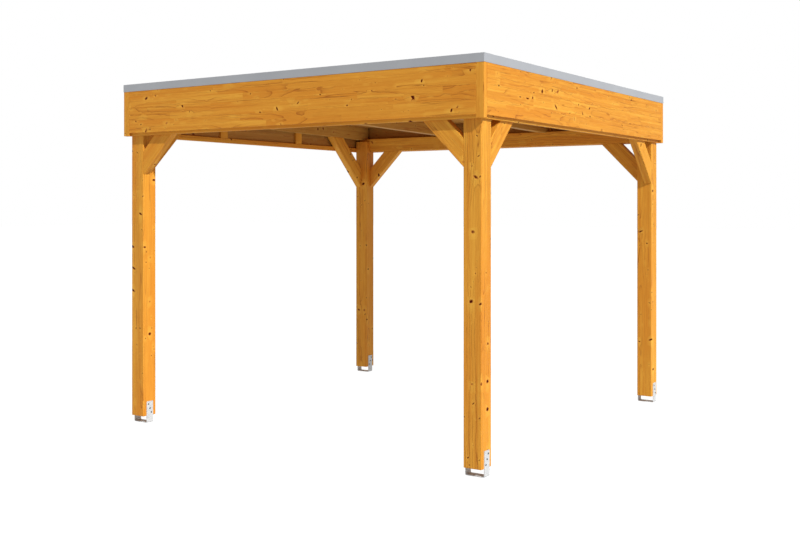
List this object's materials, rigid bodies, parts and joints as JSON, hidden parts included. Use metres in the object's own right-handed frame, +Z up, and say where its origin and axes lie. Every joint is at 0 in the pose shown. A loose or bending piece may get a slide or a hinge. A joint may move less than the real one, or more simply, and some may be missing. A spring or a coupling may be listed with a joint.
{
  "type": "garden gazebo",
  "caption": "Square flat-roofed timber garden shelter: posts on steel U brackets, knee braces, falling rafters, level boarded fascia and metal roof edge.",
  "frame": {"origin": "centre of the four feet in plan, on the underside of the post brackets, where the gazebo meets the ground", "axes": "+Z up, +X to the right seen from the front, -Y towards the front, the rafters fall towards +Y"},
  "size_m": [3.004, 3.004, 2.465],
  "materials": {
    "posts": "planed knotty softwood with a honey-coloured glaze",
    "timbers": "planed knotty softwood with a honey-coloured glaze",
    "roof_boards": "planed softwood tongued boards",
    "membrane": "dark grey single-ply roofing sheet",
    "fascia_boards": "planed knotty softwood boards with a honey-coloured glaze",
    "fascia_frame": "planed softwood",
    "roof_edge": "folded sheet metal, matt grey",
    "brackets": "hot-dip galvanised flat steel",
    "screws": "zinc-plated screws"
  },
  "bodies": {
    "root": {"post_front_right": "posts", "post_front_left": "posts", "post_rear_right": "posts", "post_rear_left": "posts", "beam_front": "timbers", "beam_rear": "timbers", "front_brace_right": "timbers", "front_brace_left": "timbers", "rear_brace_right": "timbers", "rear_brace_left": "timbers", "right_brace_front": "timbers", "right_brace_rear": "timbers", "left_brace_front": "timbers", "left_brace_rear": "timbers", "rafter_left": "timbers", "rafter_mid_left": "timbers", "rafter_mid_right": "timbers", "rafter_right": "timbers", "roof_deck": "roof_boards", "roof_membrane": "membrane", "fascia_front": "fascia_boards", "fascia_rear": "fascia_boards", "fascia_left": "fascia_boards", "fascia_right": "fascia_boards", "rail_front": "fascia_frame", "rail_rear": "fascia_frame", "rail_left": "fascia_frame", "rail_right": "fascia_frame", "fascia_battens": "fascia_frame", "corner_front_right": "fascia_boards", "corner_front_left": "fascia_boards", "corner_rear_right": "fascia_boards", "corner_rear_left": "fascia_boards", "edge_front": "roof_edge", "edge_rear": "roof_edge", "edge_left": "roof_edge", "edge_right": "roof_edge", "bracket_front_right": "brackets", "bracket_front_left": "brackets", "bracket_rear_right": "brackets", "bracket_rear_left": "brackets", "screws_front_right": "screws", "screws_front_left": "screws", "screws_rear_right": "screws", "screws_rear_left": "screws"}
  },
  "joints": []
}
